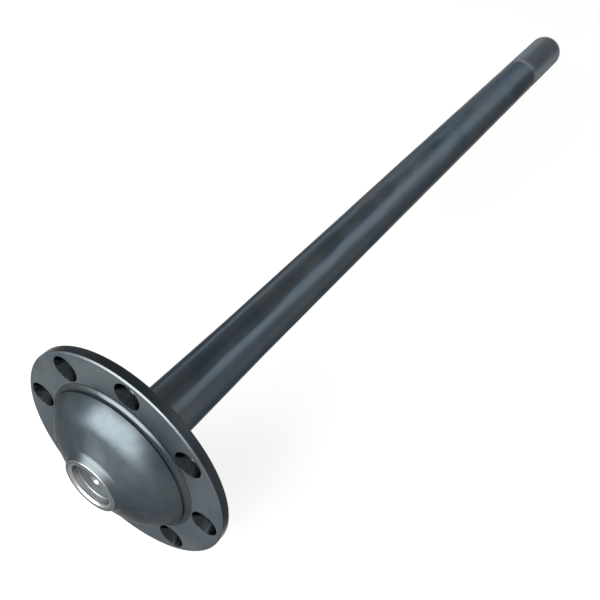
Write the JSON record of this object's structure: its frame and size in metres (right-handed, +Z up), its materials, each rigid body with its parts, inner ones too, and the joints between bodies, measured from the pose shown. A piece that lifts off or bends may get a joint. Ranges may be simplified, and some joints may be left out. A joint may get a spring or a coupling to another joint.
{
  "type": "axle shaft",
  "caption": "Full-floating axle shaft: a domed drive flange with bolt holes and a recessed nose, on a long round shaft with a splined inner end.",
  "frame": {"origin": "centre of the flange's hub-side face, on the shaft's axis", "axes": "+Y along the shaft from the flange to the splined end, +Z up, the domed crown towards -Y"},
  "size_m": [0.19, 0.9335, 0.1898],
  "materials": {
    "forged_steel": "satin gunmetal, turned and lightly polished"
  },
  "bodies": {
    "root": {"axle_shaft": "forged_steel"}
  },
  "joints": []
}
